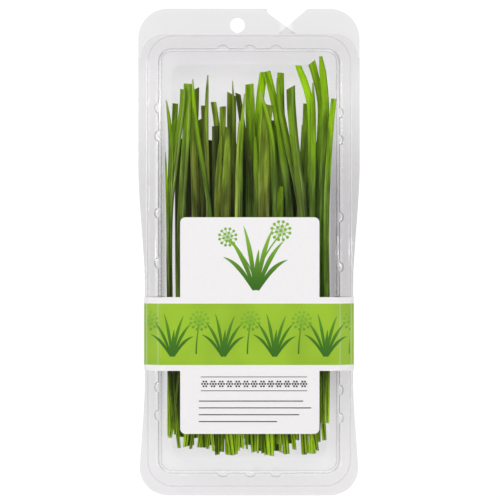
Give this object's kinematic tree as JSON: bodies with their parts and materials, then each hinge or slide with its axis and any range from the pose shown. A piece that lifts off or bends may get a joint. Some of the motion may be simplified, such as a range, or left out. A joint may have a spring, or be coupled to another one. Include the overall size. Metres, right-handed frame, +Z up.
{
  "type": "garlic chive bunch in a clear retail pack",
  "caption": "Loose bunch of flat cut garlic chive leaves lying in a clear plastic tray with a clear lid, sealed by a paper label whose band folds round both sides.",
  "frame": {"origin": "middle of the pack's outline, on the surface that the tray lies on", "axes": "+Z up through the lid and label, +Y along the leaves towards their tips and the hanging tab, +X to the right of the label"},
  "size_m": [0.111, 0.244, 0.0248],
  "materials": {
    "clear_plastic": "clear, glossy thermoformed sheet",
    "label_paper": "coated, semi-matt, with a lime green band",
    "leaf_green": "fresh leaf, waxy",
    "leaf_bright": "fresh leaf, waxy, yellow green",
    "leaf_olive": "fresh leaf, waxy, olive green"
  },
  "bodies": {
    "root": {"tray": "clear_plastic", "lid": "clear_plastic", "label": "label_paper", "leaf_01": "leaf_bright", "leaf_02": "leaf_olive", "leaf_03": "leaf_green", "leaf_04": "leaf_bright", "leaf_05": "leaf_olive", "leaf_06": "leaf_green", "leaf_07": "leaf_bright", "leaf_08": "leaf_olive", "leaf_09": "leaf_green", "leaf_10": "leaf_bright", "leaf_11": "leaf_olive", "leaf_12": "leaf_green", "leaf_13": "leaf_bright", "leaf_14": "leaf_olive", "leaf_15": "leaf_green", "leaf_16": "leaf_bright", "leaf_17": "leaf_olive", "leaf_18": "leaf_green", "leaf_19": "leaf_bright", "leaf_20": "leaf_olive", "leaf_21": "leaf_green", "leaf_22": "leaf_bright", "leaf_23": "leaf_olive", "leaf_24": "leaf_green", "leaf_25": "leaf_bright", "leaf_26": "leaf_olive", "leaf_27": "leaf_green", "leaf_28": "leaf_bright", "leaf_29": "leaf_olive", "leaf_30": "leaf_green", "leaf_31": "leaf_bright", "leaf_32": "leaf_olive", "leaf_33": "leaf_green", "leaf_34": "leaf_bright", "leaf_35": "leaf_olive", "leaf_36": "leaf_green", "leaf_37": "leaf_bright", "leaf_38": "leaf_olive", "leaf_39": "leaf_green", "leaf_40": "leaf_bright", "leaf_41": "leaf_olive", "leaf_42": "leaf_green", "leaf_43": "leaf_bright", "leaf_44": "leaf_olive", "leaf_45": "leaf_green", "leaf_46": "leaf_bright", "leaf_47": "leaf_olive", "leaf_48": "leaf_green", "leaf_49": "leaf_bright", "leaf_50": "leaf_olive", "leaf_51": "leaf_green", "leaf_52": "leaf_bright", "leaf_53": "leaf_olive", "leaf_54": "leaf_green", "leaf_55": "leaf_bright", "leaf_56": "leaf_olive", "leaf_57": "leaf_green"}
  },
  "joints": []
}
